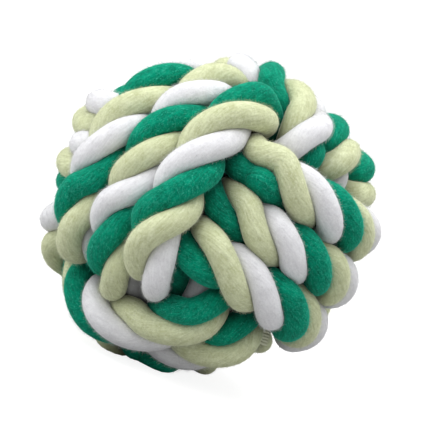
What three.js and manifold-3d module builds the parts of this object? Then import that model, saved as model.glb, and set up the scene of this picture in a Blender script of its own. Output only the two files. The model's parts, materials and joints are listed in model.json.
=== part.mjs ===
// Rope ball for dogs: one three-strand rope tied as a monkey's fist of three passes over a round core.
//
// The rope is laid from a green, a white and a lime strand, and each strand is one unbroken solid from
// end to end. The rope's route is found as the knot is tied. It is laid out as three bands that cross
// like the edges of a cube, it is drawn tight over the core, and then its strands are bedded against
// each other. Both ends are bound with twine and tucked under a band.
//
// Units are millimetres and +Z is up. The ball stands on the floor at its origin.

import * as THREE from 'three';
import { ConvexHull } from 'three/addons/math/ConvexHull.js';
import { mergeVertices } from 'three/addons/utils/BufferGeometryUtils.js';
import Module from 'manifold-3d';

const degrees = THREE.MathUtils.degToRad;
const TURN = 2 * Math.PI;

// Rope.
const STRAND_DIAMETER = 5.25;
const STRAND_GAP = 0.55; // air between strands that lie against each other
const LAY_ANGLE = degrees(38); // between a strand and the axis of the rope
const STRANDS = [
  { name: 'strand_green', color: 0x067a57, seat: 0 },
  { name: 'strand_white', color: 0xf1f0f2, seat: 1 },
  { name: 'strand_lime', color: 0xcdd8a6, seat: 2 },
];

// Core that the knot is tied over.
const CORE_DIAMETER = 26.0;
const CORE_GAP = 0.3;

// Twine that binds each end of the rope.
const WHIPPING_LENGTH = 8.0;
const WHIPPING_WALL = 0.8;
const WHIPPING_GAP = 0.3;
const WHIPPING_TURNS = 5;
const BOUND_LAY_SHARE = 1.06; // reach of a bound strand's centreline from the rope's axis, as a share of the lay's radius
const TWINE_GROOVE_SHARE = 0.4; // depth of the groove between two turns of twine, as a share of the wall

// Feet, where the lowest strands lie flat on the floor.
const FOOT_DEPTH = 0.5;

// Knot. Shares are of the spacing between two passes that lie side by side.
const PASSES = 3; // turns side by side in each band
const NEST_SHARE = 0.93; // spacing of two passes, as a share of the rope's diameter
const OUTER_SHARE = 2.8; // radius of a pass that lies on top
const UNDER_SHARE = 1.8; // radius of a pass that runs under another band
const BOUND_SHARE = 2.75; // radius that the rope is kept within as it is drawn tight
const SQUEEZE_SHARE = 0.004; // how far it is squeezed inwards in each round of that
const THIN_SHARE = 0.3; // how thick it is at the start of that, as a share of its own thickness
const POINT_SHARE = 0.2; // spacing of the points that it is drawn tight with
const BEND_SHARE = 1.6; // how much rope a bend takes at least, within which the rope isn't pushed off itself
const TAIL_TURN = degrees(34); // how far the rope has turned from its first end to its first crest
const LAST_TAIL_TURN = degrees(84); // and from its last crest to its last end
const CORNER_TURN = degrees(35); // how far a band runs on before it turns into the next one
const BANDS = [
  // Each band starts on one face, runs on under the band that crosses it, and steps towards side.
  { out: [0, -1, 0], under: [1, 0, 0], side: [0, 0, -1], lead: TAIL_TURN, lane: evenLane },
  { out: [-1, 0, 0], under: [0, 0, 1], side: [0, -1, 0], lead: CORNER_TURN, lane: evenLane },
  { out: [0, 0, 1], under: [0, 1, 0], side: [-1, 0, 0], lead: Math.PI - CORNER_TURN, lane: steppedLane },
];

// How far the green strand has turned past facing outwards where each pass crests, in turns.
// A band's passes are in the order in which the rope makes them, and null leaves the lay even there.
const CREST_TURNS = [
  [null, 0.0, null, 0.88, null, 0.56],
  [null, 0.21, null, 0.97, null, 0.86],
  [0.43, 0.13, null, null, null, null],
];
const CREST_LAG = 10; // how many points further on a pass crests once the rope is drawn tight

// How the ball lies: turns about X, Y and Z from the knot's own axes.
const LIE = [degrees(-71.6), degrees(3.9), degrees(-154.0)];

// Facets.
const STATIONS_PER_TURN = 9;
const STRAND_SIDES = 5;
const CORE_DETAIL = 4;
const WHIPPING_SIDES = 16;
const SEARCH_SHARE = 1.4; // how far past contact strands are compared, as a share of a facet's length
const FLOOR_SHARE = 10; // size of the block that cuts the feet flat, as a share of the rope's diameter

// Worked out from the rope.
const lastPass = (2 * PASSES - 1) * Math.PI; // how far a band has turned at the crest of its last pass
const contact = STRAND_DIAMETER + STRAND_GAP;
const layRadius = bedRadius(contact, LAY_ANGLE);
const layLength = TURN * layRadius / Math.tan(LAY_ANGLE);
const ropeDiameter = 2 * layRadius + contact;
const passSpacing = NEST_SHARE * ropeDiameter;
const boundReach = BOUND_LAY_SHARE * layRadius;
const whippingBore = boundReach + STRAND_DIAMETER / 2 + WHIPPING_GAP;
const whippingRadius = whippingBore + WHIPPING_WALL;

// The radius at which three strands laid at an angle just bed on one another.
function bedRadius(distance, angle) {
  const seatTurn = TURN / 3;
  const samples = 400;
  let least = Infinity;
  for (let i = 0; i <= samples; i++) {
    const turn = seatTurn * i / samples;
    const across = 2 * (1 - Math.cos(turn));
    const along = (turn - seatTurn) / Math.tan(angle);
    least = Math.min(least, across + along * along);
  }
  return distance / Math.sqrt(least);
}

// How far a band has stepped sideways, in passes from its middle: a little all the time,
function evenLane(turn) {
  return (turn - lastPass / 2) / TURN;
}

// or by a whole pass each time that it crosses the back.
function steppedLane(turn) {
  let lane = -(PASSES - 1) / 2;
  for (let pass = 1; pass < PASSES; pass++) lane += THREE.MathUtils.smoothstep(turn, (pass - 0.5) * TURN, pass * TURN);
  return lane;
}

// The route before it is drawn tight, and where each of its passes crests.
function layOutKnot() {
  const points = [];
  const crests = [];
  const step = degrees(5);
  BANDS.forEach((band, b) => {
    const [out, under, side] = [band.out, band.under, band.side].map((v) => new THREE.Vector3(...v));
    const from = -band.lead;
    const to = lastPass + (b === BANDS.length - 1 ? LAST_TAIL_TURN : CORNER_TURN);
    const count = Math.round((to - from) / step);
    for (let i = 0; i <= count; i++) {
      const turn = from + (to - from) * i / count;
      const over = Math.cos(turn) ** 2;
      const radius = passSpacing * (UNDER_SHARE + (OUTER_SHARE - UNDER_SHARE) * over);
      const lane = passSpacing * band.lane(turn);
      const around = Math.sqrt(radius ** 2 - lane ** 2);
      points.push(new THREE.Vector3()
        .addScaledVector(out, around * Math.cos(turn))
        .addScaledVector(under, around * Math.sin(turn))
        .addScaledVector(side, lane));
    }
    for (let pass = 0; pass < 2 * PASSES; pass++) {
      const index = points.length - 1 - count + count * (pass * Math.PI - from) / (to - from);
      crests.push({ index, turn: CREST_TURNS[b][pass] });
    }
  });
  return { points, crests };
}

// The same route as evenly spaced points, with the crests moved to the nearest of them.
function space(route, spacing) {
  const lengths = [0];
  for (let i = 1; i < route.points.length; i++) {
    lengths.push(lengths[i - 1] + route.points[i].distanceTo(route.points[i - 1]));
  }
  const total = lengths[lengths.length - 1];
  const count = Math.round(total / spacing);
  const points = [];
  let k = 0;
  for (let i = 0; i <= count; i++) {
    const at = total * i / count;
    while (k < lengths.length - 2 && lengths[k + 1] < at) k++;
    const share = (at - lengths[k]) / (lengths[k + 1] - lengths[k]);
    points.push(route.points[k].clone().lerp(route.points[k + 1], share));
  }
  const crests = route.crests.map((crest) => {
    const low = Math.floor(crest.index);
    const high = Math.min(low + 1, lengths.length - 1);
    const at = lengths[low] + (lengths[high] - lengths[low]) * (crest.index - low);
    return { ...crest, index: Math.round(count * at / total) };
  });
  return { points, crests };
}

// Draws the rope tight: it shortens itself, and is kept off itself and the core while it swells to its size.
function drawTight(points) {
  const swellRounds = 500;
  const rounds = 900;
  const settleRounds = 200;
  const pull = 0.35;
  const squeeze = SQUEEZE_SHARE * passSpacing;
  const outmost = BOUND_SHARE * passSpacing;
  const n = points.length;
  for (let round = 0; round < rounds; round++) {
    const swell = THIN_SHARE + (1 - THIN_SHARE) * Math.min(1, round / swellRounds);
    const slack = round < rounds - settleRounds ? pull : pull * (rounds - round) / settleRounds;
    const coreReach = CORE_DIAMETER / 2 + CORE_GAP + swell * ropeDiameter / 2;
    shorten(points, slack);
    for (const point of points) point.setLength(Math.min(point.length() - squeeze * slack / pull, outmost));
    const spacing = points[n >> 1].distanceTo(points[(n >> 1) + 1]);
    const skip = Math.ceil(BEND_SHARE * passSpacing / spacing);
    const bound = Math.ceil(WHIPPING_LENGTH / spacing);
    for (let i = 0; i < n; i++) {
      for (let j = i + skip; j < n; j++) {
        const boundPair = i < bound || j >= n - bound;
        const reach = boundPair ? whippingRadius + STRAND_GAP + ropeDiameter / 2 : passSpacing;
        pushApart(points[i], points[j], reach * swell);
      }
      const core = i < bound || i >= n - bound ? coreReach + WHIPPING_WALL + WHIPPING_GAP : coreReach;
      if (points[i].length() < core) points[i].setLength(core);
    }
    straightenEnd(points, bound, 0, 1);
    straightenEnd(points, bound, n - 1, -1);
  }
}

function shorten(points, amount) {
  const before = points.map((p) => p.clone());
  for (let i = 1; i < points.length - 1; i++) {
    points[i].lerp(before[i - 1].clone().add(before[i + 1]).multiplyScalar(0.5), amount);
  }
}

function pushApart(a, b, reach) {
  const dx = b.x - a.x;
  const dy = b.y - a.y;
  const dz = b.z - a.z;
  const squared = dx * dx + dy * dy + dz * dz;
  if (squared >= reach * reach) return;
  const distance = Math.sqrt(squared);
  const push = (reach - distance) / distance / 2;
  a.set(a.x - dx * push, a.y - dy * push, a.z - dz * push);
  b.set(b.x + dx * push, b.y + dy * push, b.z + dz * push);
}

// Keeps the bound end of the rope straight.
function straightenEnd(points, bound, end, step) {
  const first = points[end];
  const last = points[end + step * bound];
  for (let i = 1; i < bound; i++) points[end + step * i].lerpVectors(first, last, i / bound);
}

// Arc lengths, and a frame at each point that doesn't twist along the route.
function framesOf(points) {
  const n = points.length;
  const tangents = points.map((p, i) => points[Math.min(i + 1, n - 1)].clone()
    .sub(points[Math.max(i - 1, 0)]).normalize());
  const normal = new THREE.Vector3(0, 0, 1).cross(tangents[0]);
  if (normal.lengthSq() < 0.01) normal.set(0, 1, 0).cross(tangents[0]);
  const normals = [normal.normalize()];
  const lengths = [0];
  for (let i = 1; i < n; i++) {
    const turn = new THREE.Quaternion().setFromUnitVectors(tangents[i - 1], tangents[i]);
    normals.push(normals[i - 1].clone().applyQuaternion(turn).projectOnPlane(tangents[i]).normalize());
    lengths.push(lengths[i - 1] + points[i].distanceTo(points[i - 1]));
  }
  const binormals = tangents.map((t, i) => t.clone().cross(normals[i]));
  return { points, lengths, normals, binormals };
}

// How far the lay has turned at each crest, with whole turns added so that its length stays even.
function layTurns(frames, crests) {
  const { points, lengths, normals, binormals } = frames;
  const marks = [];
  for (const crest of crests) {
    if (crest.turn === null) continue;
    const index = Math.min(crest.index + CREST_LAG, points.length - 1);
    const outwards = Math.atan2(binormals[index].dot(points[index]), normals[index].dot(points[index]));
    const turn = outwards / TURN + crest.turn;
    const last = marks[marks.length - 1] ?? { length: 0, turn: 0 };
    const nominal = last.turn + (lengths[index] - last.length) / layLength;
    marks.push({ length: lengths[index], turn: turn + Math.round(nominal - turn) });
  }
  const first = marks[0];
  const last = marks[marks.length - 1];
  const total = lengths[lengths.length - 1];
  marks.unshift({ length: 0, turn: first.turn - first.length / layLength });
  marks.push({ length: total, turn: last.turn + (total - last.length) / layLength });
  return marks;
}

// The centrelines of the strands, laid round the rope's route.
function layStrands(frames, marks) {
  const start = marks[0].turn;
  const end = marks[marks.length - 1].turn;
  const count = Math.round((end - start) * STATIONS_PER_TURN);
  const strands = STRANDS.map(() => []);
  let m = 0;
  let k = 0;
  for (let i = 0; i <= count; i++) {
    const turn = start + (end - start) * i / count;
    while (m < marks.length - 2 && marks[m + 1].turn < turn) m++;
    const part = (turn - marks[m].turn) / (marks[m + 1].turn - marks[m].turn);
    const at = marks[m].length + (marks[m + 1].length - marks[m].length) * part;
    while (k < frames.lengths.length - 2 && frames.lengths[k + 1] < at) k++;
    const share = (at - frames.lengths[k]) / (frames.lengths[k + 1] - frames.lengths[k]);
    const [centre, normal, binormal] = [frames.points, frames.normals, frames.binormals]
      .map((list) => list[k].clone().lerp(list[k + 1], share));
    STRANDS.forEach((strand, s) => {
      const angle = TURN * (turn + strand.seat / STRANDS.length);
      strands[s].push(centre.clone()
        .addScaledVector(normal, layRadius * Math.cos(angle))
        .addScaledVector(binormal, layRadius * Math.sin(angle)));
    });
  }
  return strands;
}

// The pairs of strand segments that may come to touch.
function nearPairs(strands, reach) {
  const segments = [];
  strands.forEach((strand, s) => {
    for (let i = 0; i < strand.length - 1; i++) {
      segments.push({ s, i, middle: strand[i].clone().add(strand[i + 1]).multiplyScalar(0.5) });
    }
  });
  const cells = new Map();
  const cellOf = (p, dx, dy, dz) => [p.x, p.y, p.z]
    .map((v, axis) => Math.floor(v / reach) + [dx, dy, dz][axis]).join();
  segments.forEach((segment, index) => {
    const cell = cellOf(segment.middle, 0, 0, 0);
    if (!cells.has(cell)) cells.set(cell, []);
    cells.get(cell).push(index);
  });
  const pairs = [];
  const ownNeighbours = 2;
  segments.forEach((a, index) => {
    for (let dx = -1; dx <= 1; dx++) for (let dy = -1; dy <= 1; dy++) for (let dz = -1; dz <= 1; dz++) {
      for (const other of cells.get(cellOf(a.middle, dx, dy, dz)) ?? []) {
        if (other <= index) continue;
        const b = segments[other];
        if (a.s === b.s && Math.abs(a.i - b.i) <= ownNeighbours) continue;
        if (a.middle.distanceTo(b.middle) < reach) pairs.push([a, b]);
      }
    }
  });
  return pairs;
}

// The nearest points of two segments, as shares of their lengths, and how far apart those points are.
function nearest(p, q, r, s) {
  const ux = q.x - p.x, uy = q.y - p.y, uz = q.z - p.z;
  const vx = s.x - r.x, vy = s.y - r.y, vz = s.z - r.z;
  const wx = p.x - r.x, wy = p.y - r.y, wz = p.z - r.z;
  const a = ux * ux + uy * uy + uz * uz;
  const b = ux * vx + uy * vy + uz * vz;
  const c = vx * vx + vy * vy + vz * vz;
  const d = ux * wx + uy * wy + uz * wz;
  const e = vx * wx + vy * wy + vz * wz;
  const clamp = (x) => Math.min(1, Math.max(0, x));
  const denominator = a * c - b * b;
  let along = denominator > 1e-9 * a * c ? clamp((b * e - c * d) / denominator) : 0;
  const other = clamp((b * along + e) / c);
  along = clamp((b * other - d) / a);
  const x = wx + ux * along - vx * other;
  const y = wy + uy * along - vy * other;
  const z = wz + uz * along - vz * other;
  return { along, other, x, y, z, distance: Math.sqrt(x * x + y * y + z * z) };
}

// Beds the strands on each other, on the core and inside the end bindings.
function bedStrands(strands, whippings) {
  const rounds = 420;
  const laidRounds = 120;
  const laid = strands.map((strand) => strand.map((p) => p.clone()));
  const segment = laid[0][0].distanceTo(laid[0][1]);
  const coreReach = CORE_DIAMETER / 2 + CORE_GAP + STRAND_DIAMETER / 2;
  const whippingReach = whippingRadius + STRAND_GAP + STRAND_DIAMETER / 2;
  const last = strands[0].length - 1;
  const bound = WHIPPING_LENGTH / layLength * STATIONS_PER_TURN;
  let pairs = [];
  for (let round = 0; round < rounds; round++) {
    if (round % 8 === 0) pairs = nearPairs(strands, contact + SEARCH_SHARE * segment);
    const hold = Math.max(0, 1 - round / laidRounds);
    strands.forEach((strand, s) => easeBack(strand, laid[s], 0.03 * hold, 0.02 + 0.38 * hold));
    for (const [a, b] of pairs) {
      const [p, q] = [strands[a.s][a.i], strands[a.s][a.i + 1]];
      const [r, t] = [strands[b.s][b.i], strands[b.s][b.i + 1]];
      const gap = nearest(p, q, r, t);
      if (gap.distance >= contact) continue;
      const weight = (1 - gap.along) ** 2 + gap.along ** 2 + (1 - gap.other) ** 2 + gap.other ** 2;
      const push = (contact - gap.distance) / gap.distance / weight;
      for (const [point, share] of [
        [p, push * (1 - gap.along)], [q, push * gap.along],
        [r, -push * (1 - gap.other)], [t, -push * gap.other],
      ]) point.set(point.x + gap.x * share, point.y + gap.y * share, point.z + gap.z * share);
    }
    for (const strand of strands) {
      strand.forEach((point, i) => {
        if (point.length() < coreReach) point.setLength(coreReach);
        if (i > bound) keepOff(point, whippings[0], whippingReach);
        else keepWithin(point, whippings[0], boundReach);
        if (i < last - bound) keepOff(point, whippings[1], whippingReach);
        else keepWithin(point, whippings[1], boundReach);
      });
    }
  }
}

// Lets a strand ease back towards the way it was laid, evenly along its length.
function easeBack(strand, laid, ease, even) {
  const offsets = strand.map((p, i) => p.clone().sub(laid[i]));
  for (let i = 1; i < strand.length - 1; i++) {
    const mean = offsets[i - 1].clone().add(offsets[i + 1]).multiplyScalar(0.5);
    strand[i].copy(laid[i]).addScaledVector(offsets[i].clone().lerp(mean, even), 1 - ease);
  }
}

function keepOff(point, whipping, reach) {
  const near = whipping.line.closestPointToPoint(point, true, new THREE.Vector3());
  const distance = point.distanceTo(near);
  if (distance < reach) point.sub(near).multiplyScalar(reach / distance).add(near);
}

function keepWithin(point, whipping, reach) {
  const near = whipping.line.closestPointToPoint(point, false, new THREE.Vector3());
  const distance = point.distanceTo(near);
  if (distance > reach) point.sub(near).multiplyScalar(reach / distance).add(near);
}

// The least distance between two strand centrelines, less the strand's diameter.
function leastGap(strands) {
  const segment = strands[0][0].distanceTo(strands[0][1]);
  let least = Infinity;
  for (const [a, b] of nearPairs(strands, contact + SEARCH_SHARE * segment)) {
    const { distance } = nearest(strands[a.s][a.i], strands[a.s][a.i + 1], strands[b.s][b.i], strands[b.s][b.i + 1]);
    least = Math.min(least, distance);
  }
  return least - STRAND_DIAMETER;
}

// The straight stretch of an end of the rope that its binding is on.
function whippingOn(points, end, step) {
  let inner = points[end];
  for (let i = end; inner.distanceTo(points[end]) < WHIPPING_LENGTH; i += step) inner = points[i + step];
  const direction = inner.clone().sub(points[end]).normalize();
  return { line: new THREE.Line3(points[end].clone(), points[end].clone().addScaledVector(direction, WHIPPING_LENGTH)) };
}

// A closed tube along a centreline.
function tubeGeometry(centres, radius, sides) {
  const { normals, binormals } = framesOf(centres);
  const positions = [];
  const faces = [];
  centres.forEach((centre, i) => {
    for (let k = 0; k < sides; k++) {
      const angle = TURN * k / sides;
      positions.push(...centre.clone()
        .addScaledVector(normals[i], radius * Math.cos(angle))
        .addScaledVector(binormals[i], radius * Math.sin(angle)).toArray());
    }
  });
  for (let i = 0; i < centres.length - 1; i++) {
    for (let k = 0; k < sides; k++) {
      const [a, b] = [i * sides + k, i * sides + (k + 1) % sides];
      faces.push(a, b, a + sides, b, b + sides, a + sides);
    }
  }
  const lastRing = (centres.length - 1) * sides;
  for (let k = 1; k < sides - 1; k++) {
    faces.push(0, k + 1, k);
    faces.push(lastRing, lastRing + k, lastRing + k + 1);
  }
  const geometry = new THREE.BufferGeometry();
  geometry.setAttribute('position', new THREE.Float32BufferAttribute(positions, 3));
  geometry.setIndex(faces);
  return geometry;
}

// A ring of twine turns along +Z, from its inner end at the origin.
function whippingGeometry() {
  const groove = whippingRadius - TWINE_GROOVE_SHARE * WHIPPING_WALL;
  const turnLength = WHIPPING_LENGTH / WHIPPING_TURNS;
  const profile = [new THREE.Vector2(whippingBore, 0)];
  for (let turn = 0; turn < WHIPPING_TURNS; turn++) {
    profile.push(new THREE.Vector2(groove, turn * turnLength));
    profile.push(new THREE.Vector2(whippingRadius, (turn + 0.5) * turnLength));
  }
  profile.push(new THREE.Vector2(groove, WHIPPING_LENGTH));
  profile.push(new THREE.Vector2(whippingBore, WHIPPING_LENGTH));
  profile.push(profile[0].clone());
  return new THREE.LatheGeometry(profile, WHIPPING_SIDES);
}

// Rolls the ball until it rests on three points, and gives its whole turn.
function settle(surface, turn) {
  const points = surface.map((p) => p.clone().applyMatrix4(turn));
  const middle = points.reduce((sum, p) => sum.add(p), new THREE.Vector3()).divideScalar(points.length);
  const hull = new ConvexHull().setFromPoints(points);
  const down = new THREE.Vector3(0, 0, -1);
  const floor = new THREE.Vector3();
  let facing = down.clone();
  const rolls = 20;
  for (let roll = 0; roll < rolls; roll++) {
    let reach = Infinity;
    for (const face of hull.faces) {
      const slope = face.normal.dot(facing);
      const height = (face.constant - face.normal.dot(middle)) / slope;
      if (slope > 0 && height < reach) {
        reach = height;
        floor.copy(face.normal);
      }
    }
    if (floor.distanceTo(facing) < 1e-9) break;
    facing = floor.clone();
  }
  const level = new THREE.Quaternion().setFromUnitVectors(floor, down);
  return new THREE.Matrix4().makeRotationFromQuaternion(level).multiply(turn);
}

const wasm = await Module();
wasm.setup();

// A closed body of a geometry. Positions that several faces share are merged.
function solidOf(geometry) {
  const bare = new THREE.BufferGeometry();
  bare.setAttribute('position', geometry.attributes.position);
  bare.setIndex(geometry.index);
  const merged = mergeVertices(bare);
  return new wasm.Manifold(new wasm.Mesh({
    numProp: 3,
    vertProperties: merged.attributes.position.array,
    triVerts: Uint32Array.from(merged.index.array),
  }));
}

function geometryOf(solid) {
  const mesh = solid.getMesh();
  const geometry = new THREE.BufferGeometry();
  geometry.setAttribute('position', new THREE.BufferAttribute(mesh.vertProperties, mesh.numProp));
  geometry.setIndex(new THREE.BufferAttribute(mesh.triVerts, 1));
  return geometry;
}

function meshOf(name, solid, material) {
  const mesh = new THREE.Mesh(geometryOf(solid), new THREE.MeshStandardMaterial(material));
  mesh.name = name;
  return mesh;
}

const route = space(layOutKnot(), POINT_SHARE * passSpacing);
drawTight(route.points);
const frames = framesOf(route.points);
const strands = layStrands(frames, layTurns(frames, route.crests));
const whippings = [whippingOn(route.points, 0, 1), whippingOn(route.points, route.points.length - 1, -1)];
bedStrands(strands, whippings);
console.log(`rope length ${frames.lengths[frames.lengths.length - 1].toFixed(0)} mm`);
console.log(`least gap between strands ${leastGap(strands).toFixed(2)} mm`);

const tubes = strands.map((centres) => tubeGeometry(centres, STRAND_DIAMETER / 2, STRAND_SIDES));
const surface = tubes.flatMap((tube) => {
  const { array } = tube.attributes.position;
  return Array.from({ length: array.length / 3 }, (_, i) => new THREE.Vector3().fromArray(array, 3 * i));
});
const placing = settle(surface, new THREE.Matrix4().makeRotationFromEuler(new THREE.Euler(...LIE)));
const box = new THREE.Box3().setFromPoints(surface.map((p) => p.applyMatrix4(placing)));
const middle = box.getCenter(new THREE.Vector3());
placing.premultiply(new THREE.Matrix4().makeTranslation(-middle.x, -middle.y, -(box.min.z + FOOT_DEPTH)));

const ball = new THREE.Group();
const floorSize = FLOOR_SHARE * ropeDiameter;
const floor = solidOf(new THREE.BoxGeometry(floorSize, floorSize, floorSize).translate(0, 0, -floorSize / 2));
STRANDS.forEach(({ name, color }, s) => {
  const solid = solidOf(tubes[s].applyMatrix4(placing)).subtract(floor);
  ball.add(meshOf(name, solid, { color, roughness: 0.9, metalness: 0 }));
});

const coreGeometry = new THREE.IcosahedronGeometry(CORE_DIAMETER / 2, CORE_DETAIL).applyMatrix4(placing);
ball.add(meshOf('core_ball', solidOf(coreGeometry), { color: 0xa9b8a6, roughness: 0.8, metalness: 0 }));

['whipping_first_end', 'whipping_last_end'].forEach((name, w) => {
  const { start, end } = whippings[w].line;
  const along = new THREE.Quaternion().setFromUnitVectors(new THREE.Vector3(0, 1, 0), end.clone().sub(start).normalize());
  const geometry = whippingGeometry().applyQuaternion(along).translate(...start.toArray()).applyMatrix4(placing);
  ball.add(meshOf(name, solidOf(geometry), { color: 0xe4ddc8, roughness: 0.85, metalness: 0 }));
});

export default ball;
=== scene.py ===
"""Looks of a rope ball for dogs: cotton strands with their fuzz, the core, and twine on the rope's ends.

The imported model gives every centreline. Each strand is swelled round its own until it beds against its
neighbours. Lengths are in metres.
"""

import json
import math

import bmesh
import bpy
import numpy as np
from mathutils import Matrix, Vector, kdtree

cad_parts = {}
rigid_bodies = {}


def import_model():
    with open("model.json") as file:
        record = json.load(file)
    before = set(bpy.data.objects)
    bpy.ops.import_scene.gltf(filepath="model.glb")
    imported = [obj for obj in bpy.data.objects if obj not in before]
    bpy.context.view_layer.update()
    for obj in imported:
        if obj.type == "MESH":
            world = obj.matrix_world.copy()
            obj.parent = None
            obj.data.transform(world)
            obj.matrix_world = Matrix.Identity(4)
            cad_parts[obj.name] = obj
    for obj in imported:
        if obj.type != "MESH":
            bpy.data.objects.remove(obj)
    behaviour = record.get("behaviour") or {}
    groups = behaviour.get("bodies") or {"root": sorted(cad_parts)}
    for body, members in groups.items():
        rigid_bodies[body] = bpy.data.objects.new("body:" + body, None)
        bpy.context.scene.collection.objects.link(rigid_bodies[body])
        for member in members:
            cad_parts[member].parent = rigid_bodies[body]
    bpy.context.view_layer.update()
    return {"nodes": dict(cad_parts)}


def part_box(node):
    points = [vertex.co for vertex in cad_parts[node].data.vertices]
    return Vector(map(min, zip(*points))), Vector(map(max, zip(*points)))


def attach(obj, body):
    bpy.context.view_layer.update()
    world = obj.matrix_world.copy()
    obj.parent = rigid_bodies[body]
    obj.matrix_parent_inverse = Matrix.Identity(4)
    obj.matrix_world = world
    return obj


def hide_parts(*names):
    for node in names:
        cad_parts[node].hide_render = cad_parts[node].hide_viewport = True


bl_info = {
    "name": "Rope ball",
    "version": (1, 0, 0),
    "blender": (4, 5, 0),
    "location": "3D View > Sidebar > Rope ball",
    "description": "Dresses a knotted rope ball in cotton strands, fuzz and twine",
    "category": "Object",
}

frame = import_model()

BODY = "root"
MM = 0.001
STRANDS = ("green", "white", "lime")
WHIPPINGS = ("whipping_first_end", "whipping_last_end")

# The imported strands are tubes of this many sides. Corners nearer than SAME_PLACE are one.
PACKED_SIDES = 5
SAME_PLACE = 0.001 * MM

# How often a centreline is eased, a crease rounded off, and the shading of a crease spread out.
EASING_ROUNDS = 3
CREASE_ROUNDS = 2
SHADING_ROUNDS = 10
CREASE_FILL = 0.06 * MM

# A strand doesn't press on itself within this many radii along it. What is beside it holds it back only in
# directions that face it by more than LEAST_FACING.
OWN_REACH = 2.6
LEAST_FACING = 0.05

# A binding holds the strands that pass through it, up to BOUND_PAST beyond its ends, and pushes off others
# that come within HELD_WITHIN of it.
BOUND_PAST = 6 * MM
HELD_WITHIN = 4 * MM
BINDING_CLEARANCE = 0.12 * MM
CORE_CLEARANCE = 0.1 * MM

# The rings of a rounded tip: how far round the curve each is, in degrees, and how far along the strand past
# its end, in radii. TIP_JUT is how far the whole tip juts out, as a share of the strand's reach.
TIP_TURNS = (30, 55, 75, 86)
TIP_PLACES = (0.1, 0.25, 0.4, 0.5)
TIP_JUT = 0.5

# Cotton nearer to the middle than INSIDE_SHARE of the ball's radius is hidden, and over the next
# OPENING_SHARE of it the cotton comes into the open.
INSIDE_SHARE = 0.68
OPENING_SHARE = 0.14

# The cotton's colours deep between its fibres, and where single fibres catch the light.
# Darker copies of the deep colours are painted into the creases and inside the ball as shade.
DEEP = {"green": (0.0, 0.125, 0.073, 1), "white": (0.69, 0.685, 0.71, 1), "lime": (0.47, 0.50, 0.28, 1)}
BRIGHT = {"green": (0.08, 0.58, 0.43, 1), "white": (0.92, 0.92, 0.93, 1), "lime": (0.84, 0.86, 0.68, 1)}

# What sets the two kinds of fibre apart: how far round from the comb they may point, how much they curl, in
# how many segments, and how thick they are for the fibre radius.
FIBRE_KINDS = {
    "nap": {"Spread": math.radians(60), "Curl": 0.0, "Segments": 1},
    "stray": {"Spread": math.radians(95), "Curl": 0.25, "Segments": 3},
}
FIBRE_THICKNESS = {"nap": 1.0, "stray": 1.5}

# The least and the most that chance makes a fibre lean and grow, how fast fuzz thins out where the cotton is
# pressed, and the shade of the darker fibres.
LEAN_RANGE = (0.7, 1.2)
GROWTH_RANGE = (0.5, 1.4)
FUZZ_THINNING = 5
FIBRE_SHADE = 0.55


def rows(lists):
    """Numbers in lists, as an array."""
    return np.array(lists, float)


def lengths(vectors):
    """The length of each vector."""
    return np.linalg.norm(vectors, axis=-1)


def unit(vectors):
    """The same directions at a length of one."""
    return vectors / lengths(vectors)[..., None]


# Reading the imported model.


def joined(node):
    """The corners of a node with its loose triangles joined, and the corners that each is linked to."""
    mesh = bmesh.new()
    mesh.from_mesh(frame["nodes"][node].data)
    bmesh.ops.remove_doubles(mesh, verts=mesh.verts, dist=SAME_PLACE)
    mesh.verts.ensure_lookup_table()
    corners = rows([v.co for v in mesh.verts])
    links = [[e.other_vert(v).index for e in v.link_edges] for v in mesh.verts]
    mesh.free()
    return corners, links


def steps_from(starts, links, allowed):
    """How many edges each corner is from the starts, and -1 where none of them is reached."""
    steps = np.full(len(links), -1)
    steps[starts] = 0
    front = list(starts)
    while front:
        ahead = []
        for corner in front:
            for other in links[corner]:
                if allowed[other] and steps[other] < 0:
                    steps[other] = steps[corner] + 1
                    ahead.append(other)
        front = ahead
    return steps


def circle_centre(a, b, c):
    """The centre of the circle through three points."""
    u, v = b - a, c - a
    normal = np.cross(u, v)
    across = (u @ u) * np.cross(v, normal) + (v @ v) * np.cross(normal, u)
    return a - across / (2 * normal @ normal)


def centreline(node, start):
    """A strand's centre at each ring of its tube, from the end that is nearer to start.

    Corners on the floor are left out, because the floor cuts their ring. The circle through the other
    corners of the ring gives its centre.
    """
    corners, links = joined(node)
    allowed = corners[:, 2] > SAME_PLACE
    highest = int(np.argmax(corners[:, 2]))
    steps = steps_from([highest], links, allowed)
    one_end = np.flatnonzero(steps == steps.max())
    ring_of = steps_from(list(one_end), links, allowed)
    centres = []
    for ring in range(ring_of.max() + 1):
        around = corners[ring_of == ring]
        if len(around) == PACKED_SIDES:
            centres.append(around.mean(0))
        elif len(around) > 2:
            centres.append(circle_centre(*around[[0, len(around) // 2, -1]]))
        else:
            centres.append(centres[-1])
    centres = rows(centres)
    if lengths(centres[0] - start) > lengths(centres[-1] - start):
        centres = centres[::-1]
    return centres


def ring_axis(node):
    """The middle, axis and half length of a ring, and its inner and outer radius."""
    corners, _ = joined(node)
    middle = corners.mean(0)
    _, axes = np.linalg.eigh(np.cov((corners - middle).T))
    axis = axes[:, 0]
    along = (corners - middle) @ axis
    out = lengths(corners - middle - along[:, None] * axis)
    middle = middle + axis * (along.max() + along.min()) / 2
    half = np.ptp(along) / 2
    return {"middle": middle, "axis": axis, "half": half, "bore": out.min(), "outer": out.max()}


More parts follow.
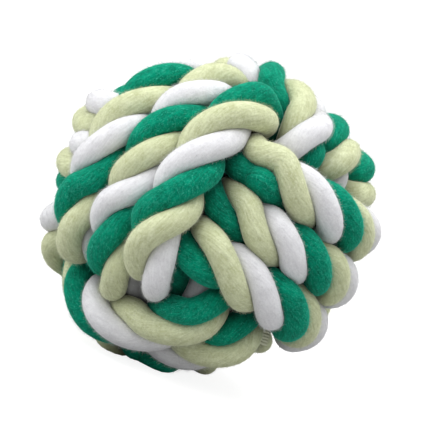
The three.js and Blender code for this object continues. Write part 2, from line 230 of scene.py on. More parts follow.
def smooth_line(points, per_span):
    """The same line as a smooth curve with per_span points for each span."""
    before = 2 * points[:1] - points[1:2]
    after = 2 * points[-1:] - points[-2:-1]
    padded = np.concatenate([before, points, after])
    t = np.linspace(0, 1, per_span, endpoint=False)[:, None]
    curve = []
    for i in range(len(points) - 1):
        a, b, c, d = padded[i : i + 4]
        bend = 2 * a - 5 * b + 4 * c - d
        change = 3 * b - a - 3 * c + d
        curve.append(0.5 * (2 * b + (c - a) * t + bend * t**2 + change * t**3))
    return np.concatenate(curve + [points[-1:]])


def eased(line, rounds):
    """A line with its small kinks drawn out. Its ends stay."""
    line = line.copy()
    for _ in range(rounds):
        line[1:-1] += 0.5 * ((line[:-2] + line[2:]) / 2 - line[1:-1])
    return line


# Materials and other node trees.


class Socket:
    """An output of a node. Arithmetic on it adds Math nodes, so its formulas read as Python."""

    def __init__(self, tree, output):
        self.tree = tree
        self.output = output

    def math(self, operation, *values):
        return self.tree.add("ShaderNodeMath", {"operation": operation}, dict(enumerate(values)))

    def __add__(self, other):
        return self.math("ADD", self, other)

    def __sub__(self, other):
        return self.math("SUBTRACT", self, other)

    def __rsub__(self, other):
        return self.math("SUBTRACT", other, self)

    def __mul__(self, other):
        return self.math("MULTIPLY", self, other)

    def __truediv__(self, other):
        return self.math("DIVIDE", self, other)

    __radd__ = __add__
    __rmul__ = __mul__

    def sine(self):
        return self.math("SINE", self)

    def clamped(self, low, high):
        """How far it is from low to high, held between 0 and 1."""
        limits = {"Value": self, "From Min": low, "From Max": high}
        return self.tree.add("ShaderNodeMapRange", {"clamp": True}, limits)


class Tree:
    """A node tree that is written as calls and formulas."""

    def __init__(self, nodes, links):
        self.nodes = nodes
        self.links = links

    def node(self, kind, settings, inputs):
        """Adds a node with its settings, then gives its sockets their values or links."""
        node = self.nodes.new(kind)
        for name, value in settings.items():
            setattr(node, name, value)
        for name, value in inputs.items():
            if isinstance(value, Socket):
                self.links.new(value.output, node.inputs[name])
            else:
                node.inputs[name].default_value = value
        return node

    def add(self, kind, settings=None, inputs=None, output=0):
        """Adds a node and gives one of its outputs."""
        return Socket(self, self.node(kind, settings or {}, inputs or {}).outputs[output])

    def parts(self, vector):
        """The three parts of a vector."""
        node = self.node("ShaderNodeSeparateXYZ", {}, {0: vector})
        return [Socket(self, output) for output in node.outputs]

    def map_parts(self, name):
        """Both parts of a UV map."""
        return self.parts(self.add("ShaderNodeUVMap", {"uv_map": name}))[:2]

    def place(self):
        """The place on the piece."""
        return self.add("ShaderNodeTexCoord", output=3)

    def noise(self, where, size, detail=2.0, roughness=0.5):
        """Noise whose spots are about size across."""
        inputs = {"Vector": where, "Scale": 1 / size, "Detail": detail, "Roughness": roughness}
        return self.add("ShaderNodeTexNoise", {}, inputs)

    def blend(self, share, one, other):
        """A colour between two, by share."""
        node = self.node("ShaderNodeMix", {"data_type": "RGBA"}, {0: share, 6: one, 7: other})
        return Socket(self, node.outputs[2])

    def bump(self, height, strength, distance):
        """A normal that follows a height."""
        inputs = {"Height": height, "Strength": strength, "Distance": distance}
        return self.add("ShaderNodeBump", {}, inputs)


def new_material(name):
    """A material, its tree and its surface node."""
    material = bpy.data.materials.new(name)
    material.use_nodes = True
    tree = Tree(material.node_tree.nodes, material.node_tree.links)
    surface = tree.nodes["Principled BSDF"]
    return material, tree, surface


def feed(tree, surface, **values):
    """Gives sockets of a node their values or links. An underscore stands for a space in a name."""
    for name, value in values.items():
        socket = surface.inputs[name.replace("_", " ")]
        if isinstance(value, Socket):
            tree.links.new(value.output, socket)
        else:
            socket.default_value = value


def shade(colour, factor):
    """A colour made darker or lighter."""
    return tuple(min(1.0, c * factor) for c in colour[:3]) + (1.0,)


def cotton(name, colour, deep, bright, look):
    """Soft cotton. Its fibres slant across the strand, so that they run with the rope. Shade is painted into
    its creases and inside the ball.
    """
    material, tree, surface = new_material(name)
    slant, spacing = look.fibre_slant, look.fibre_spacing
    along_strand, round_strand = tree.map_parts("strand")
    across = along_strand * math.sin(slant) + round_strand * math.cos(slant)
    along = along_strand * math.cos(slant) - round_strand * math.sin(slant)
    on_strand = tree.add("ShaderNodeUVMap", {"uv_map": "strand"})
    wander = tree.noise(on_strand, 12 * spacing, detail=1.0) - 0.5
    across = across + wander * 2.2 * spacing

    def streaks(width, length, seed):
        """Noise drawn out along the fibres."""
        where = tree.add("ShaderNodeCombineXYZ", {}, {0: across / width, 1: along / length, 2: seed})
        return tree.noise(where, 1.0, roughness=0.55)

    lines = streaks(spacing, 11 * spacing, 3.1)
    strays = streaks(0.4 * spacing, 2.6 * spacing, 8.7)
    here = tree.place()
    felt = tree.noise(here, 1.3 * spacing, detail=3.0)
    grain = tree.noise(here, 0.5 * spacing, detail=1.0)
    patches = tree.noise(here, 2.4 * MM, detail=3.0, roughness=0.6)

    tone = (lines * 0.4 + felt * 0.25 + patches * 0.35).clamped(0.37, 0.63)
    specks = strays.clamped(0.56, 0.74) * felt.clamped(0.42, 0.62)
    tint = tree.blend(tone, deep, colour)
    tint = tree.blend(specks * look.speck_share, tint, bright)
    # Painted shade: the cotton is painted darker beside and in the creases where strands press on each
    # other, and deep inside the ball. A fine random grain darkens it between single fibres.
    inside, pressed = tree.map_parts("hidden")
    painted_shade_near_crease = pressed.clamped(0.0, 0.2) * 0.45
    painted_shade_in_crease = pressed.clamped(0.08, 0.26) * look.painted_crease_shade
    painted_shade_in_ball = inside * 0.85
    between_fibres = grain.clamped(0.52, 0.68) * 0.22
    painted_shade_and_grain = ((painted_shade_near_crease, 0.8), (painted_shade_in_crease, 0.14), (painted_shade_in_ball, 0.15), (between_fibres, 0.75))
    for share, factor in painted_shade_and_grain:
        tint = tree.blend(share, tint, shade(deep, factor))

    height = patches * 1.6 + lines * 0.6 + strays * 0.3 + felt * 0.6 - grain * 0.15
    normal = tree.bump(height, 0.85, 0.5 * spacing)
    feed(tree, surface, Base_Color=tint, Normal=normal, Roughness=0.86 + 0.1 * felt)
    feed(tree, surface, Sheen_Weight=0.9, Sheen_Roughness=0.3, Sheen_Tint=bright, Specular_IOR_Level=0.1)
    return material


def loose_fibres(name, low, high):
    """The single fibres that stand off the cotton, in lighter and darker tufts."""
    material, tree, surface = new_material(name)
    here = tree.place()
    tufts = tree.noise(here, 0.9 * MM, detail=3.0)
    single = tree.noise(here, 0.25 * MM)
    tint = tree.blend((single * 0.45 + tufts * 0.55).clamped(0.38, 0.60), low, high)
    feed(tree, surface, Base_Color=tint, Roughness=0.9, Specular_IOR_Level=0.1)
    return material


def moulded_rubber(name, colour):
    """Matte rubber with a fine grain and faint clouds."""
    material, tree, surface = new_material(name)
    here = tree.place()
    grain = tree.noise(here, 0.5 * MM, detail=3.0)
    clouds = tree.noise(here, 7 * MM)
    tint = tree.blend(clouds.clamped(0.35, 0.65), shade(colour, 0.8), shade(colour, 1.15))
    normal = tree.bump(grain, 0.3, 0.08 * MM)
    feed(tree, surface, Base_Color=tint, Normal=normal, Roughness=0.7 + 0.2 * grain)
    return material


def twisted_twine(name, colour, thickness):
    """Twine whose three plies slant across it, with painted shade in the grooves between them. It reads the
    twine's own map.
    """
    material, tree, surface = new_material(name)
    along, around = tree.map_parts("twine")
    turn = along / (2.2 * thickness) + around
    ply = (turn * (3 * math.tau)).sine()
    fluff = tree.noise(tree.place(), 0.2 * MM, detail=3.0)
    # Painted shade: the grooves between the plies are darker and their crowns lighter.
    crown = (ply * 0.5 + 0.5).clamped(0.0, 0.55)
    tint = tree.blend(crown * (0.75 + 0.4 * fluff), shade(colour, 0.7), shade(colour, 1.05))
    normal = tree.bump(ply * 0.5 + fluff * 0.4, 0.6, 0.12 * thickness)
    feed(tree, surface, Base_Color=tint, Normal=normal, Roughness=0.85)
    return material


# Sizes and colours that a user would change.


class RopeBallCotton(bpy.types.PropertyGroup):
    """How the cotton strands look."""

    radius: bpy.props.FloatProperty(
        name="Strand radius",
        description="Radius of a strand where nothing presses on it",
        default=3.55 * MM,
        unit="LENGTH",
    )
    bedding: bpy.props.FloatProperty(
        name="Bedding gap",
        description="Space left between strands that press on each other",
        default=0.05 * MM,
        unit="LENGTH",
    )
    around: bpy.props.IntProperty(
        name="Faces round a strand",
        description="Faces round each strand",
        default=28,
    )
    spans: bpy.props.IntProperty(
        name="Faces along a span",
        description="Faces along each span of the centreline",
        default=6,
    )
    fibre_spacing: bpy.props.FloatProperty(
        name="Fibre spacing",
        description="Space between two bundles of fibres",
        default=0.42 * MM,
        unit="LENGTH",
    )
    fibre_slant: bpy.props.FloatProperty(
        name="Fibre slant",
        description="Angle between the fibres and their strand",
        default=math.radians(36),
        subtype="ANGLE",
    )
    speck_share: bpy.props.FloatProperty(
        name="Specks",
        description="How strongly stray fibres lighten the surface",
        default=0.75,
        subtype="FACTOR",
    )
    # How dark the painted shade in the creases is.
    painted_crease_shade: bpy.props.FloatProperty(
        name="Creases",
        description="How dark the cotton is where strands press on each other",
        default=0.85,
        subtype="FACTOR",
    )
    green: bpy.props.FloatVectorProperty(
        name="Green",
        description="Colour of the green strand",
        default=(0.0, 0.325, 0.19, 1),
        size=4,
        subtype="COLOR",
    )
    white: bpy.props.FloatVectorProperty(
        name="White",
        description="Colour of the white strand",
        default=(0.82, 0.82, 0.84, 1),
        size=4,
        subtype="COLOR",
    )
    lime: bpy.props.FloatVectorProperty(
        name="Lime",
        description="Colour of the lime strand",
        default=(0.70, 0.74, 0.50, 1),
        size=4,
        subtype="COLOR",
    )


class RopeBallFuzz(bpy.types.PropertyGroup):
    """The fine nap of the cotton, and the stray fibres that stand off it."""

    nap_density: bpy.props.FloatProperty(
        name="Nap density",
        description="Short fibres on each square metre of cotton in the open",
        default=3.5e6,
    )
    nap_length: bpy.props.FloatProperty(
        name="Nap length",
        description="Length of a short fibre",
        default=1.1 * MM,
        unit="LENGTH",
    )
    nap_lean: bpy.props.FloatProperty(
        name="Nap lean",
        description="How far a short fibre leans over",
        default=math.radians(52),
        subtype="ANGLE",
    )
    stray_density: bpy.props.FloatProperty(
        name="Stray density",
        description="Long fibres on each square metre of cotton in the open",
        default=5e5,
    )
    stray_length: bpy.props.FloatProperty(
        name="Stray length",
        description="Length of a long fibre",
        default=1.7 * MM,
        unit="LENGTH",
    )
    stray_lean: bpy.props.FloatProperty(
        name="Stray lean",
        description="How far a long fibre leans over",
        default=math.radians(78),
        subtype="ANGLE",
    )
    radius: bpy.props.FloatProperty(
        name="Fibre radius",
        description="Radius of a short fibre at its root",
        default=0.019 * MM,
        unit="LENGTH",
    )
    seed: bpy.props.IntProperty(
        name="Seed",
        description="Seed of the scatter",
        default=7,
    )


class RopeBallTrim(bpy.types.PropertyGroup):
    """The core and the twine on the rope's ends."""

    twine_turns: bpy.props.IntProperty(
        name="Twine turns",
        description="Turns of twine round each end",
        default=9,
    )
    twine: bpy.props.FloatVectorProperty(
        name="Twine",
        description="Colour of the twine",
        default=(0.69, 0.71, 0.53, 1),
        size=4,
        subtype="COLOR",
    )
    core: bpy.props.FloatVectorProperty(
        name="Core",
        description="Colour of the core",
        default=(0.10, 0.15, 0.11, 1),
        size=4,
        subtype="COLOR",
    )


class RopeBallStage(bpy.types.PropertyGroup):
    """Floor, light and camera."""

    distance: bpy.props.FloatProperty(
        name="Camera distance",
        description="From the camera to the middle of the ball",
        default=0.62,
        unit="LENGTH",
    )
    pixels_per_metre: bpy.props.FloatProperty(
        name="Scale",
        description="Pixels of the photograph for each metre at the ball",
        default=3758.0,
    )
    key: bpy.props.FloatProperty(
        name="Key light",
        description="Power of the light overhead",
        default=1.48,
    )
    right_edge: bpy.props.FloatProperty(
        name="Right edge light",
        description="Power of the light at the right",
        default=1.4,
    )
    left_edge: bpy.props.FloatProperty(
        name="Left edge light",
        description="Power of the light at the left",
        default=1.4,
    )
    fill: bpy.props.FloatProperty(
        name="Sky light",
        description="Strength of the light from all round",
        default=0.8,
    )


# Shapes.


def new_object(name, mesh):
    """An object in the scene that shows a mesh."""
    piece = bpy.data.objects.new(name, mesh)
    bpy.context.scene.collection.objects.link(piece)
    return piece


def finish_piece(piece, slot, *nodes):
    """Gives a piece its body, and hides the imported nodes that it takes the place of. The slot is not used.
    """
    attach(piece, BODY)
    if nodes:
        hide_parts(*nodes)


def strand_lines(spans):
    """The three centrelines as smooth curves with the same number of points, in the order of STRANDS."""
    start = ring_axis(WHIPPINGS[0])["middle"]
    coarse = [centreline("strand_" + colour, start) for colour in STRANDS]
    return [eased(smooth_line(line, spans), EASING_ROUNDS) for line in coarse]


def directions_round(line, rope, count):
    """The way that a strand runs at each point, and a circle of directions round it.

    The circle starts towards the middle of the rope. The last result is the way round it at each direction.
    """
    forward = unit(np.gradient(line, axis=0))
    side = rope - line
    side = unit(side - (side * forward).sum(1)[:, None] * forward)
    up = np.cross(forward, side)
    angles = np.linspace(0, math.tau, count, endpoint=False)
    cosines, sines = np.cos(angles)[None, :, None], np.sin(angles)[None, :, None]
    around = cosines * side[:, None] + sines * up[:, None]
    turning = cosines * up[:, None] - sines * side[:, None]
    return forward, around, turning


def swelled_radii(lines, which, around, look, tree, owners):
    """How far a strand reaches each way at each of its points.

    The other strands hold it back, and so do its own other turns and the floor.
    """
    line = lines[which]
    first = which * len(line)
    step = lengths(line[1:] - line[:-1]).mean()
    own = int(OWN_REACH * look.radius / step)
    points = np.concatenate(lines)
    reach = np.full(around.shape[:2], look.radius)
    for i, here in enumerate(line):
        near = [index for _, index, _ in tree.find_range(here, 2 * look.radius)]
        near = [n for n in near if owners[n] != which or abs(n - first - i) > own]
        if not near:
            continue
        away = points[near] - here
        distance = lengths(away)
        facing = around[i] @ (away / distance[:, None]).T
        halfway = (distance - look.bedding) / 2
        limit = np.where(facing > LEAST_FACING, halfway / np.maximum(facing, LEAST_FACING), look.radius)
        reach[i] = np.minimum(look.radius, limit.min(1))
    # A direction that doesn't fall never meets the floor.
    falling = np.maximum(-around[..., 2], 1e-9)
    return np.minimum(reach, line[:, 2:] / falling)


def softened(reach, rounds):
    """Rounds the creases that bedding leaves, mostly by pressing them in."""
    soft = reach.copy()
    for _ in range(rounds):
        soft = 0.5 * soft + 0.25 * (np.roll(soft, 1, 1) + np.roll(soft, -1, 1))
        soft[1:-1] = 0.5 * soft[1:-1] + 0.25 * (soft[:-2] + soft[2:])
    return np.minimum(soft, reach + CREASE_FILL)


def with_tips(values):
    """Values for every ring of a strand, tips too, from one row for each point of its line."""
    count = len(TIP_TURNS)
    return np.concatenate([values[:1].repeat(count, 0), values, values[-1:].repeat(count, 0)])


def rounded_ends(line, reach, around, forward):
    """Rings of a strand, drawn in at both ends to a rounded tip."""
    rings = line[:, None] + reach[..., None] * around
    tips = []
    for end, way in ((0, -1), (-1, 1)):
        tip = []
        for turn in np.radians(TIP_TURNS):
            jut = way * TIP_JUT * math.sin(turn) * reach[end].mean()
            tip.append(line[end] + forward[end] * jut + (rings[end] - line[end]) * math.cos(turn))
        tips.append(rows(tip))
    return np.concatenate([tips[0][::-1], rings, tips[1]])


def held_by(rings, centres, binding):
    """Keeps bound strands inside a binding, and the others off it. There is one centre for each ring."""
    middle, axis, half = binding["middle"], binding["axis"], binding["half"]
    along = (rings - middle) @ axis
    on_axis = middle + along[..., None] * axis
    out = rings - on_axis
    far = lengths(out)
    centre_along = (centres - middle) @ axis
    centre_far = lengths(centres - middle - centre_along[:, None] * axis)
    bound = (centre_far < binding["bore"]) & (np.abs(centre_along) < half + BOUND_PAST)
    inner = np.minimum(far, binding["bore"] - BINDING_CLEARANCE)
    outer = np.maximum(far, binding["outer"] + BINDING_CLEARANCE)
    wanted = np.where(bound[:, None], inner, outer)
    beside = (np.abs(along) < half + BINDING_CLEARANCE) & (far < binding["outer"] + HELD_WITHIN)
    return np.where(beside[..., None], on_axis + out * (wanted / far)[..., None], rings)


def openness(rings, middle, radius):
    """How much of the outside each point of the rings sees: 1 in the open, and 0 inside the ball."""
    far = lengths(rings - middle)
    return np.clip((far - INSIDE_SHARE * radius) / (OPENING_SHARE * radius), 0, 1)


def places_along(line, radius):
    """How far along its strand each ring is."""
    places = np.concatenate([[0], np.cumsum(lengths(np.diff(line, axis=0)))])
    tip = radius * rows(TIP_PLACES)
    return np.concatenate([-tip[::-1], places, places[-1] + tip])


def tube_mesh(name, rings, along, around_length, hidden):
    """A closed tube from rows of ring points, with two maps.

    The map named strand is in metres, and along is each ring's place on the strand. The map named hidden
    says how hidden and how pressed each point is; the cotton paints shade by it.
    """
    count, sides = rings.shape[:2]
    tips = rows([rings[0].mean(0), rings[-1].mean(0)])
    points = np.concatenate([rings.reshape(-1, 3), tips])
    i, k = np.meshgrid(np.arange(count - 1), np.arange(sides), indexing="ij")
    this_ring, next_ring = i * sides, (i + 1) * sides
    after = (k + 1) % sides
    quads = np.stack([this_ring + k, this_ring + after, next_ring + after, next_ring + k], -1)
    side = np.arange(sides)
    beyond = (side + 1) % sides
    last = (count - 1) * sides
    first_tip, last_tip = np.full(sides, count * sides), np.full(sides, count * sides + 1)
    caps = np.concatenate(
        [np.stack([first_tip, beyond, side], -1), np.stack([last_tip, last + side, last + beyond], -1)]
    )
    mesh = bpy.data.meshes.new(name)
    mesh.from_pydata(points, [], quads.reshape(-1, 4).tolist() + caps.tolist())
    u = np.stack([along[i], along[i], along[i + 1], along[i + 1]], -1).reshape(-1)
    v = np.stack([k, k + 1, k + 1, k], -1).reshape(-1) * (around_length / sides)
    flat = np.zeros((len(u) + 3 * len(caps), 2))
    flat[: len(u)] = np.stack([u, v], -1)
    flat[len(u) :, 0] = np.repeat([along[0], along[-1]], 3 * sides)
    layer = mesh.uv_layers.new(name="strand")
    layer.data.foreach_set("uv", flat.astype(np.float32).reshape(-1))
    corners = np.zeros(len(mesh.loops), np.int32)
    mesh.loops.foreach_get("vertex_index", corners)
    layer = mesh.uv_layers.new(name="hidden")
    layer.data.foreach_set("uv", hidden[corners].astype(np.float32).reshape(-1))
    mesh.polygons.foreach_set("use_smooth", np.ones(len(mesh.polygons), bool))
    mesh.update()
    return mesh


def mark(mesh, name, kind, field, values):
    """Stores a value for each point of a mesh."""
    attribute = mesh.attributes.new(name, kind, "POINT")
    attribute.data.foreach_set(field, values.astype(np.float32))


class ROPEBALL_OT_strands(bpy.types.Operator):
    """Swell the three cotton strands round their centrelines"""

    bl_idname = "rope_ball.strands"
    bl_label = "Strands"

    def execute(self, context):
        look = context.scene.rope_ball_cotton
        lines = strand_lines(look.spans)
        points = np.concatenate(lines)
        owners = np.repeat(range(len(lines)), len(lines[0]))
        tree = kdtree.KDTree(len(points))
        for index, point in enumerate(points):
            tree.insert(point, index)
        tree.balance()
        rope = sum(lines) / len(lines)
        bindings = [ring_axis(node) for node in WHIPPINGS]
        low, high = (rows(corner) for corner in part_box("core_ball"))
        core, core_radius = (low + high) / 2, (high - low).max() / 2
        ball_radius = max(lengths(line - core).max() for line in lines) + look.radius
        for which, colour in enumerate(STRANDS):
            line = lines[which]
            forward, around, turning = directions_round(line, rope, look.around)
            reach = swelled_radii(lines, which, around, look, tree, owners)
            reach = softened(reach, CREASE_ROUNDS)
            rings = rounded_ends(line, reach, around, forward)
            for binding in bindings:
                rings = held_by(rings, with_tips(line), binding)
            from_core = rings - core
            pushed_off = np.maximum(1, (core_radius + CORE_CLEARANCE) / lengths(from_core))
            rings = core + from_core * pushed_off[..., None]
            rings[..., 2] = np.maximum(rings[..., 2], 0)

            seen = openness(rings, core, ball_radius)
            # How hidden and how pressed each point is, by which the cotton paints shade.
            pressed = with_tips(np.clip(1 - softened(reach, SHADING_ROUNDS) / look.radius, 0, 1))
            hidden = np.stack([1 - seen, pressed], -1).reshape(-1, 2)
            hidden = np.concatenate([hidden, hidden[:1], hidden[-1:]])
            places = places_along(line, look.radius)
            mesh = tube_mesh("cotton_" + colour, rings, places, math.tau * look.radius, hidden)
            free = seen * np.clip(1 - FUZZ_THINNING * pressed, 0, 1)
            mark(mesh, "open_air", "FLOAT", "value", np.append(free.reshape(-1), [0, 0]))
            comb = math.cos(look.fibre_slant) * forward[:, None] - math.sin(look.fibre_slant) * turning
            comb = with_tips(comb).reshape(-1)
            mark(mesh, "comb", "FLOAT_VECTOR", "vector", np.append(comb, [0, 0, 1, 0, 0, 1]))

            tint = tuple(getattr(look, colour))
            mesh.materials.append(cotton("cotton " + colour, tint, DEEP[colour], BRIGHT[colour], look))
            piece = new_object("cotton_" + colour, mesh)
            finish_piece(piece, "cotton_" + colour, "strand_" + colour)
        return {"FINISHED"}


def new_group(name, inputs):
    """An empty node group that takes a geometry and the named inputs, and gives a geometry."""
    group = bpy.data.node_groups.new(name, "GeometryNodeTree")
    face = group.interface
    face.new_socket("Geometry", in_out="INPUT", socket_type="NodeSocketGeometry")
    face.new_socket("Geometry", in_out="OUTPUT", socket_type="NodeSocketGeometry")
    for label, kind in inputs.items():
        face.new_socket(label, in_out="INPUT", socket_type="NodeSocket" + kind)
    tree = Tree(group.nodes, group.links)
    given = tree.node("NodeGroupInput", {}, {})
    return group, tree, [Socket(tree, given.outputs[i]) for i in range(len(inputs) + 1)]


def end_group(tree, shape, material):
    """Makes the instances of a shape real, and gives it its material, as a group's result."""
    real = tree.add("GeometryNodeRealizeInstances", {}, {"Geometry": shape})
    done = tree.add("GeometryNodeSetMaterial", {}, {"Geometry": real, "Material": material})
    tree.node("NodeGroupOutput", {}, {0: done})


def fuzz_tree():
    """Scatters fibres over a surface, leaning the way it is combed, where it is in the open."""
    sizes = ("Density", "Length", "Radius", "Lean", "Spread", "Curl")
    inputs = dict.fromkeys(sizes, "Float") | {"Segments": "Int", "Seed": "Int", "Material": "Material"}
    group, tree, given = new_group("Cotton fuzz", inputs)
    surface, density, length, radius, lean, spread, curl, segments, seed, material = given

    def marked(name, kind):
        """What mark stored on the surface."""
        return tree.add("GeometryNodeInputNamedAttribute", {"data_type": kind}, {"Name": name})

    def chance(low, high, step):
        """A number of its own for each fibre."""
        inputs = {2: low, 3: high, "Seed": seed + step}
        return tree.add("FunctionNodeRandomValue", {"data_type": "FLOAT"}, inputs, output=1)

    open_air = marked("open_air", "FLOAT")
    scattered = {"Mesh": surface, "Density": density * open_air, "Seed": seed}
    scatter = tree.node("GeometryNodeDistributePointsOnFaces", {}, scattered)
    points, normal = (Socket(tree, scatter.outputs[name]) for name in ("Points", "Normal"))
    size = {"Vertices": 3, "Side Segments": segments, "Depth": length}
    size |= {"Radius Top": 0.0, "Radius Bottom": radius}
    spike = tree.add("GeometryNodeMeshCone", {"fill_type": "NGON"}, size)
    height = tree.parts(tree.add("GeometryNodeInputPosition"))[2]
    bend = tree.add("ShaderNodeCombineXYZ", {}, {0: curl * height * height / length})
    fibre = tree.add("GeometryNodeSetPosition", {}, {"Geometry": spike, "Offset": bend})

    axes = {"primary_axis": "Z", "secondary_axis": "X"}
    facing = {0: normal, 1: marked("comb", "FLOAT_VECTOR")}
    turned = tree.add("FunctionNodeAxesToRotation", axes, facing)
    swing, tip_over = {2: spread * chance(-1.0, 1.0, 1)}, {1: lean * chance(*LEAN_RANGE, 2)}
    for turn in (swing, tip_over):
        angles = tree.add("ShaderNodeCombineXYZ", {}, turn)
        inputs = {0: turned, 1: tree.add("FunctionNodeEulerToRotation", {}, {0: angles})}
        turned = tree.add("FunctionNodeRotateRotation", {"rotation_space": "LOCAL"}, inputs)
    scale = chance(*GROWTH_RANGE, 3) * (open_air * 0.6 + 0.4)
    placed = {"Points": points, "Instance": fibre, "Rotation": turned, "Scale": scale}
    end_group(tree, tree.add("GeometryNodeInstanceOnPoints", {}, placed), material)
    return group


def made_by(group, name, mesh, values):
    """What a Geometry Nodes group makes of a mesh, as a piece with a plain mesh."""
    piece = new_object(name, mesh)
    modifier = piece.modifiers.new("Made", "NODES")
    modifier.node_group = group
    names = {item.name: item.identifier for item in group.interface.items_tree if item.in_out == "INPUT"}
    for key, value in values.items():
        modifier[names[key]] = value
    evaluated = piece.evaluated_get(bpy.context.evaluated_depsgraph_get())
    result = bpy.data.meshes.new_from_object(evaluated)
    piece.modifiers.remove(modifier)
    piece.data = result
    return piece


class ROPEBALL_OT_fuzz(bpy.types.Operator):
    """Scatter single fibres over the cotton"""

    bl_idname = "rope_ball.fuzz"
    bl_label = "Fuzz"

    def execute(self, context):
        fuzz = context.scene.rope_ball_fuzz
        group = fuzz_tree()
        for number, colour in enumerate(STRANDS):
            tint = tuple(getattr(context.scene.rope_ball_cotton, colour))
            material = loose_fibres("fibre " + colour, shade(tint, FIBRE_SHADE), BRIGHT[colour])
            for kind, own in FIBRE_KINDS.items():
                values = own | {
                    "Density": getattr(fuzz, kind + "_density"),
                    "Length": getattr(fuzz, kind + "_length"),
                    "Lean": getattr(fuzz, kind + "_lean"),
                    "Radius": fuzz.radius * FIBRE_THICKNESS[kind],
                    "Seed": fuzz.seed + 10 * number + own["Segments"],
                    "Material": material,
                }
                mesh = bpy.data.objects["cotton_" + colour].data.copy()
                piece = made_by(group, kind + "_" + colour, mesh, values)
                self.keep_off_floor(piece.data)
                finish_piece(piece, "cotton_" + colour)
        return {"FINISHED"}

    def keep_off_floor(self, mesh):
        """Lifts the points that are under the floor up to it."""
        places = rows([v.co for v in mesh.vertices])
        places[:, 2] = np.maximum(places[:, 2], 0)
        mesh.vertices.foreach_set("co", places.astype(np.float32).reshape(-1))
        mesh.update()


def twine_tree():
    """Winds twine round an axis along Z, at a radius, with marks for its own map."""
    sizes = ("Turns", "Length", "Winding Radius", "Twine Radius")
    inputs = dict.fromkeys(sizes, "Float") | {"Material": "Material"}
    group, tree, given = new_group("Twine binding", inputs)
    turns, length, winding, thick, material = given[1:]

    def measured(curve, name, measure):
        """A curve that carries a measure along it as a mark."""
        spline = tree.node("GeometryNodeSplineParameter", {}, {})
        settings = {"data_type": "FLOAT", "domain": "POINT"}
        inputs = {"Geometry": curve, "Name": name, "Value": Socket(tree, spline.outputs[measure])}
        return tree.add("GeometryNodeStoreNamedAttribute", settings, inputs)

    size = {"Resolution": 40, "Rotations": turns, "Height": length}
    size |= {"Start Radius": winding, "End Radius": winding}
    helix = tree.add("GeometryNodeCurveSpiral", {}, size)
    section = {"Resolution": 12, "Radius": thick}
    section = tree.add("GeometryNodeCurvePrimitiveCircle", {"mode": "RADIUS"}, section)
    wound = {"Curve": measured(helix, "along", "Length"), "Fill Caps": True}
    wound["Profile Curve"] = measured(section, "around", "Factor")
    end_group(tree, tree.add("GeometryNodeCurveToMesh", {}, wound), material)
    return group


class ROPEBALL_OT_bindings(bpy.types.Operator):
    """Wind twine round both ends of the rope"""

    bl_idname = "rope_ball.bindings"
    bl_label = "End bindings"

    def execute(self, context):
        trim = context.scene.rope_ball_trim
        group = twine_tree()
        for node in WHIPPINGS:
            ring = ring_axis(node)
            thick = (ring["outer"] - ring["bore"]) / 2
            values = {
                "Turns": float(trim.twine_turns),
                "Length": 2 * (ring["half"] - thick),
                "Winding Radius": ring["outer"] - thick,
                "Twine Radius": thick,
                "Material": twisted_twine("twine " + node, tuple(trim.twine), 2 * thick),
            }
            name = node.replace("whipping", "twine")
            piece = made_by(group, name, bpy.data.meshes.new(name), values)
            mesh = piece.data
            axis = Vector(ring["axis"])
            turned = Vector((0, 0, 1)).rotation_difference(axis).to_matrix().to_4x4()
            start = Vector(ring["middle"] - ring["axis"] * (ring["half"] - thick))
            mesh.transform(Matrix.Translation(start) @ turned)
            self.map_twine(mesh)
            mesh.polygons.foreach_set("use_smooth", np.ones(len(mesh.polygons), bool))
            finish_piece(piece, "twine", node)
        return {"FINISHED"}

    def map_twine(self, mesh):
        """Turns the marks on the twine's points into its map, with no jump where the section closes."""
        marks = {}
        for name in ("along", "around"):
            values = np.zeros(len(mesh.vertices), np.float32)
            mesh.attributes[name].data.foreach_get("value", values)
            marks[name] = values
        corners = np.zeros(len(mesh.loops), np.int32)
        mesh.loops.foreach_get("vertex_index", corners)
        u, v = marks["along"][corners], marks["around"][corners].copy()
        for face in mesh.polygons:
            loops = list(face.loop_indices)
            if np.ptp(v[loops]) > 0.5 and len(loops) == 4:
                v[loops] = np.where(v[loops] < 0.5, v[loops] + 1, v[loops])
        layer = mesh.uv_layers.new(name="twine")
        layer.data.foreach_set("uv", np.stack([u, v], -1).astype(np.float32).reshape(-1))


class ROPEBALL_OT_core(bpy.types.Operator):
    """Give the core its rubber"""

    bl_idname = "rope_ball.core"
    bl_label = "Core"

    def execute(self, context):
        core = frame["nodes"]["core_ball"]
        rubber = moulded_rubber("core rubber", tuple(context.scene.rope_ball_trim.core))
        core.data.materials.clear()
        core.data.materials.append(rubber)
        return {"FINISHED"}


# Stage. The view's directions are the photograph's, worked out from how the knot's turns lie in it.

VIEW_TOWARDS = Vector((-0.011, -0.9897, 0.143))
VIEW_UP = Vector((-0.3643, 0.1372, 0.9211))
IMAGE_SIZE = 433
CORE_PIXEL = (212.4, 213.9)
SENSOR_WIDTH = 36
FLOOR_HALF = 6.0
FLOOR_GREY = (0.4, 0.4, 0.4, 1)
FLOOR_WHITENING = (0.86, 0.86, 0.86, 1)

# How far each lamp is from the core, up, to the right and towards the camera, and how wide it is.
LAMPS = {
    "key": (0.42, -0.03, 0.25, 0.5),
    "right_edge": (0.38, 0.36, -0.04, 0.4),
    "left_edge": (0.18, -0.47, -0.02, 0.4),
}


def pale_floor():
    """A floor that the camera sees as white, and that still takes the ball's shadow."""
    material, tree, surface = new_material("pale floor")
    seen = tree.blend(tree.add("ShaderNodeLightPath"), (0, 0, 0, 1), FLOOR_WHITENING)
    feed(tree, surface, Base_Color=FLOOR_GREY, Roughness=0.95, Specular_IOR_Level=0.0)
    feed(tree, surface, Emission_Color=seen, Emission_Strength=1.0)
    return material


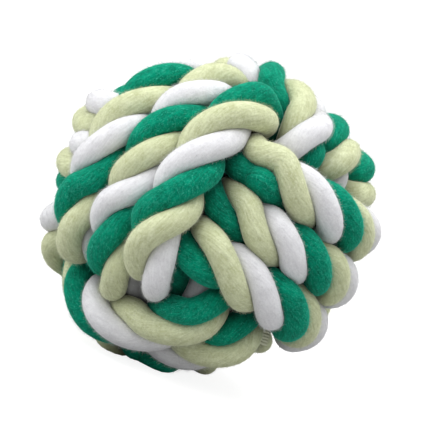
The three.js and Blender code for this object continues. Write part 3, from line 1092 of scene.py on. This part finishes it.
class ROPEBALL_OT_stage(bpy.types.Operator):
    """Set the floor, the light and the camera"""

    bl_idname = "rope_ball.stage"
    bl_label = "Stage"

    def execute(self, context):
        scene = context.scene
        stage = scene.rope_ball_stage
        low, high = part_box("core_ball")
        core = (low + high) / 2
        towards = VIEW_TOWARDS.normalized()
        right = VIEW_UP.cross(towards).normalized()
        up = towards.cross(right)
        self.floor()
        self.sky(scene, stage.fill)
        self.camera(scene, stage, core, (right, up, towards))
        for name, (above, beside, before, width) in LAMPS.items():
            place = core + up * above + towards * before + right * beside
            self.lamp(scene, name, place, core, width, getattr(stage, name))
        scene.view_settings.view_transform = "Standard"
        return {"FINISHED"}

    def floor(self):
        corners = [(-1, -1), (1, -1), (1, 1), (-1, 1)]
        corners = [(x * FLOOR_HALF, y * FLOOR_HALF, 0) for x, y in corners]
        mesh = bpy.data.meshes.new("floor")
        mesh.from_pydata(corners, [], [(0, 1, 2, 3)])
        mesh.materials.append(pale_floor())
        new_object("floor", mesh)

    def sky(self, scene, fill):
        """Light from all round, at the strength of fill. The camera sees it as white."""
        world = bpy.data.worlds.new("studio")
        scene.world = world
        world.use_nodes = True
        tree = Tree(world.node_tree.nodes, world.node_tree.links)
        seen = tree.add("ShaderNodeLightPath")
        feed(tree, tree.nodes["Background"], Color=(1, 1, 1, 1), Strength=fill + (1 - fill) * seen)

    def camera(self, scene, stage, core, axes):
        """A camera that sees the core where the photograph has it, at the photograph's scale."""
        right, up, towards = axes
        scale = stage.pixels_per_metre
        aside, below = ((IMAGE_SIZE / 2 - pixel) / scale for pixel in CORE_PIXEL)
        place = core + right * aside - up * below + towards * stage.distance
        data = bpy.data.cameras.new("camera")
        data.sensor_fit = "HORIZONTAL"
        data.sensor_width = SENSOR_WIDTH
        data.lens = SENSOR_WIDTH * stage.distance * scale / IMAGE_SIZE
        data.clip_start, data.clip_end = 0.01, 50
        camera = bpy.data.objects.new("camera", data)
        camera.matrix_world = Matrix.Translation(place) @ Matrix(axes).transposed().to_4x4()
        scene.collection.objects.link(camera)
        scene.camera = camera

    def lamp(self, scene, name, place, target, width, power):
        data = bpy.data.lights.new(name, "AREA")
        data.shape = "DISK"
        data.size = width
        data.energy = power
        lamp = bpy.data.objects.new(name, data)
        lamp.location = place
        lamp.rotation_euler = (target - place).to_track_quat("-Z", "Y").to_euler()
        scene.collection.objects.link(lamp)


class ROPEBALL_PT_panel(bpy.types.Panel):
    """Lists the steps of the rope ball"""

    bl_idname = "ROPEBALL_PT_panel"
    bl_label = "Rope ball"
    bl_space_type = "VIEW_3D"
    bl_region_type = "UI"
    bl_category = "Rope ball"

    def draw(self, context):
        layout = self.layout
        for operator in OPERATORS:
            layout.operator(operator.bl_idname)
        for name, _ in GROUPS:
            layout.label(text=name.replace("_", " ").capitalize())
            group = getattr(context.scene, name)
            for key in group.bl_rna.properties.keys():
                if key not in ("rna_type", "name"):
                    layout.prop(group, key)


OPERATORS = (
    ROPEBALL_OT_strands,
    ROPEBALL_OT_fuzz,
    ROPEBALL_OT_bindings,
    ROPEBALL_OT_core,
    ROPEBALL_OT_stage,
)
GROUPS = (
    ("rope_ball_cotton", RopeBallCotton),
    ("rope_ball_fuzz", RopeBallFuzz),
    ("rope_ball_trim", RopeBallTrim),
    ("rope_ball_stage", RopeBallStage),
)


def register():
    for name, group in GROUPS:
        bpy.utils.register_class(group)
        setattr(bpy.types.Scene, name, bpy.props.PointerProperty(type=group))
    for operator in OPERATORS:
        bpy.utils.register_class(operator)
    bpy.utils.register_class(ROPEBALL_PT_panel)


def unregister():
    bpy.utils.unregister_class(ROPEBALL_PT_panel)
    for operator in reversed(OPERATORS):
        bpy.utils.unregister_class(operator)
    for name, group in reversed(GROUPS):
        delattr(bpy.types.Scene, name)
        bpy.utils.unregister_class(group)


def main():
    register()
    for step in ("strands", "fuzz", "bindings", "core", "stage"):
        getattr(bpy.ops.rope_ball, step)()


if __name__ == "__main__":
    main()
